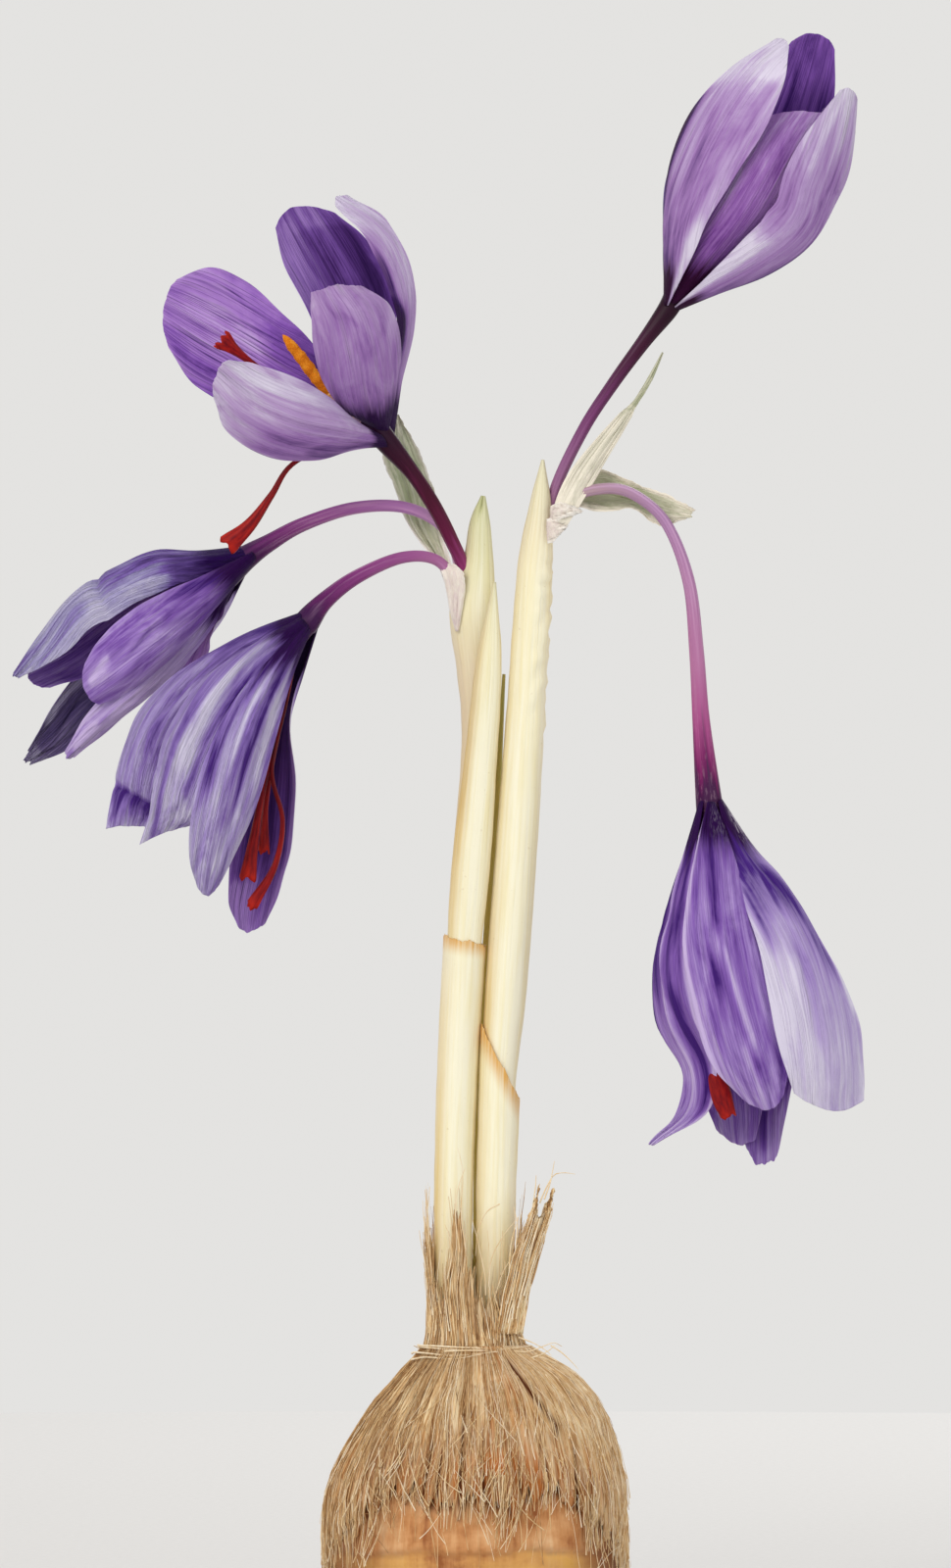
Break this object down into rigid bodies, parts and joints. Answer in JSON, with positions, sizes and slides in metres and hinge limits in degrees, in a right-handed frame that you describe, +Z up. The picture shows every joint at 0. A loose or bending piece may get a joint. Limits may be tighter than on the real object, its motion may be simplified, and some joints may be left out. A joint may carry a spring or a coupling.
{
  "type": "saffron crocus with corm",
  "caption": "Saffron crocus lifted with its corm: pale sheathed shoots carry open, closed and drooping violet flowers with red stigmas, standing on the corm's flat base.",
  "frame": {"origin": "Centre of the flat basal face of the corm, the face the plant stands on", "axes": "+Z up along the shoots, +X to the side of the closed bud and the long drooping flower, +Y to the back"},
  "size_m": [0.1103, 0.0467, 0.2103],
  "materials": {
    "tepal": "satin",
    "floral_tube": "satin",
    "stigma": "satin",
    "anther": "matte",
    "sheath": "satin",
    "bract": "satin",
    "leaf": "satin",
    "tunic_fibre": "matte",
    "corm_flesh": "matte"
  },
  "bodies": {
    "root": {"corm": "corm_flesh", "flower_1_perianth_tube": "floral_tube", "flower_2_perianth_tube": "floral_tube", "flower_3_perianth_tube": "floral_tube", "flower_4_perianth_tube": "floral_tube", "flower_5_perianth_tube": "floral_tube", "flower_1_style": "stigma", "flower_1_stamens": "anther", "flower_2_style": "stigma", "flower_2_stamens": "anther", "flower_3_style": "stigma", "flower_3_stamens": "anther", "flower_4_style": "stigma", "flower_4_stamens": "anther", "flower_5_style": "stigma", "flower_5_stamens": "anther", "right_inner_sheath": "sheath", "left_front_sheath": "sheath", "left_hooded_sheath": "sheath", "leaf_tip": "leaf", "left_outer_sheath": "sheath", "right_outer_sheath": "sheath", "left_bract": "bract", "right_bract_spike": "bract", "right_bract_wing": "bract", "flower_1_outer_tepal_1": "tepal", "flower_1_inner_tepal_1": "tepal", "flower_1_outer_tepal_2": "tepal", "flower_1_inner_tepal_2": "tepal", "flower_1_outer_tepal_3": "tepal", "flower_1_inner_tepal_3": "tepal", "flower_2_outer_tepal_1": "tepal", "flower_2_inner_tepal_1": "tepal", "flower_2_inner_tepal_2": "tepal", "flower_2_outer_tepal_2": "tepal", "flower_2_inner_tepal_3": "tepal", "flower_2_outer_tepal_3": "tepal", "flower_3_inner_tepal_1": "tepal", "flower_3_outer_tepal_1": "tepal", "flower_3_inner_tepal_2": "tepal", "flower_3_outer_tepal_2": "tepal", "flower_3_outer_tepal_3": "tepal", "flower_3_inner_tepal_3": "tepal", "flower_4_outer_tepal_1": "tepal", "flower_4_outer_tepal_2": "tepal", "flower_4_inner_tepal_1": "tepal", "flower_4_inner_tepal_2": "tepal", "flower_4_outer_tepal_3": "tepal", "flower_4_inner_tepal_3": "tepal", "flower_5_outer_tepal_1": "tepal", "flower_5_inner_tepal_1": "tepal", "flower_5_outer_tepal_2": "tepal", "flower_5_inner_tepal_2": "tepal", "flower_5_outer_tepal_3": "tepal", "flower_5_inner_tepal_3": "tepal", "tunic": "tunic_fibre", "tunic_neck": "tunic_fibre", "neck_binding": "tunic_fibre", "tunic_flap": "tunic_fibre"}
  },
  "joints": []
}
